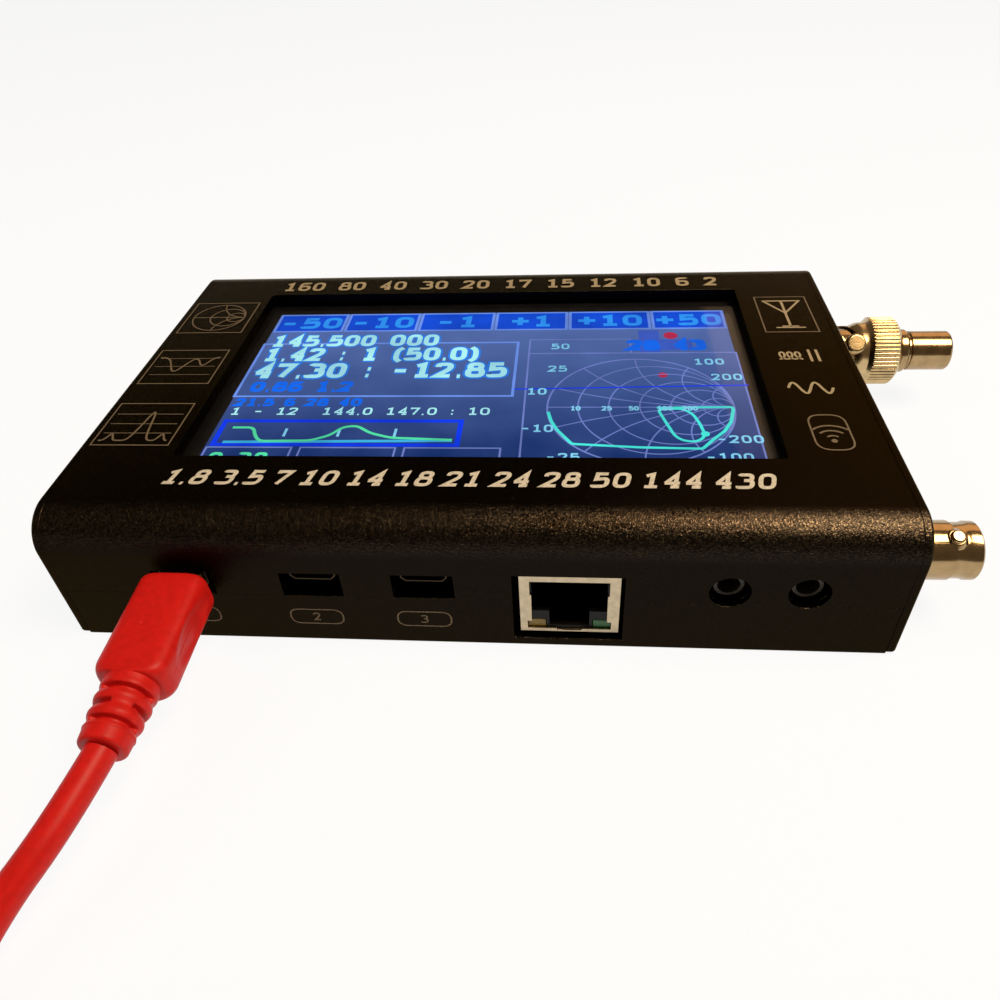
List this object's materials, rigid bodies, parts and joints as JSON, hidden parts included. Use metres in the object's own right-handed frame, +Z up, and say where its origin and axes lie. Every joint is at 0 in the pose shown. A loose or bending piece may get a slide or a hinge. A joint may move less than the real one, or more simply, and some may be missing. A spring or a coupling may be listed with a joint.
{
  "type": "antenna analyzer",
  "caption": "Hand-held touch-screen antenna analyzer with two bayonet radio jacks, a bayonet-to-phono adapter and a plugged-in USB power lead.",
  "frame": {"origin": "middle of the case's underside", "axes": "+X towards the plate with the radio jacks, +Y towards the rear wall, +Z up through the display"},
  "size_m": [0.2132, 0.1938, 0.0255],
  "materials": {
    "black_anodised": "sand-blasted, black anodised",
    "glass": "polished",
    "display": "lit screen",
    "circuit_board": "satin",
    "black_plastic": "matt",
    "chip_black": "matt",
    "white_plastic": "matt",
    "foam": "matt",
    "flex_film": "satin",
    "nickel": "nickel plated",
    "tin": "tinned sheet",
    "gold_contact": "gold flashed",
    "steel_screw": "blackened",
    "battery_wrap": "satin",
    "yellow_lamp": "frosted",
    "green_lamp": "frosted",
    "red_vinyl": "semi-gloss"
  },
  "bodies": {
    "case": {"top_shell": "black_anodised", "bottom_shell": "black_anodised", "left_end_plate": "black_anodised", "right_end_plate": "black_anodised", "left_plate_screws": "steel_screw", "right_plate_screws": "steel_screw", "touch_glass": "glass", "display_module": "display", "display_pads": "foam", "display_flex": "flex_film", "flex_socket": "white_plastic", "main_board": "circuit_board", "rf_board": "circuit_board", "board_posts": "tin", "board_screws": "steel_screw", "board_headers": "black_plastic", "processor_chip": "chip_black", "memory_chips": "chip_black", "mixer_chip": "chip_black", "shield_can": "tin", "card_holder": "black_plastic", "memory_card": "black_plastic", "battery": "battery_wrap", "battery_pad": "foam", "mini_usb_shell": "tin", "mini_usb_tongue": "white_plastic", "micro_usb_shells": "tin", "micro_usb_tongues": "black_plastic", "ethernet_shield": "tin", "ethernet_insert": "black_plastic", "ethernet_contacts": "gold_contact", "ethernet_lamp_left": "yellow_lamp", "ethernet_lamp_right": "green_lamp", "audio_jack_left": "black_plastic", "audio_jack_right": "black_plastic", "switch_housing": "black_plastic", "front_jack_body": "nickel", "front_jack_insulator": "white_plastic", "front_jack_contact": "gold_contact", "rear_jack_body": "nickel", "rear_jack_insulator": "white_plastic", "rear_jack_contact": "gold_contact", "jack_washers": "nickel", "jack_nuts": "nickel"},
    "rocker": {"power_rocker": "black_plastic"},
    "adapter": {"adapter_body": "nickel", "adapter_insulator": "white_plastic", "adapter_pin": "gold_contact"},
    "coupling_ring": {"coupling_ring": "nickel"},
    "usb_lead": {"plug_shell": "tin", "plug_insert": "white_plastic", "plug_moulding": "red_vinyl", "usb_cord": "red_vinyl", "usb_coil": "red_vinyl", "cord_tie": "black_plastic", "usb_cord_tail": "red_vinyl", "far_plug_grip": "red_vinyl", "far_plug_shell": "tin", "far_plug_tongue": "white_plastic"}
  },
  "joints": [
    {"name": "rocker_tip", "type": "hinge", "parent": "case", "child": "rocker", "pos_m": [-0.0666, 0.022, 0.01275], "axis": [0, 0, 1], "range_deg": [-18, 0]},
    {"name": "adapter_draw", "type": "slide", "parent": "case", "child": "adapter", "axis": [1, 0, 0], "range_m": [0, 0.002]},
    {"name": "coupling_turn", "type": "hinge", "parent": "adapter", "child": "coupling_ring", "pos_m": [0.0797, 0.0283, 0.01225], "axis": [1, 0, 0], "range_deg": [0, 60]},
    {"name": "lead_pull", "type": "slide", "parent": "case", "child": "usb_lead", "axis": [0, -1, 0], "range_m": [0, 0.01]}
  ],
  "couplings": [
    {"joint": "coupling_turn", "follows": "adapter_draw", "rad_per_m": 523.59}
  ]
}
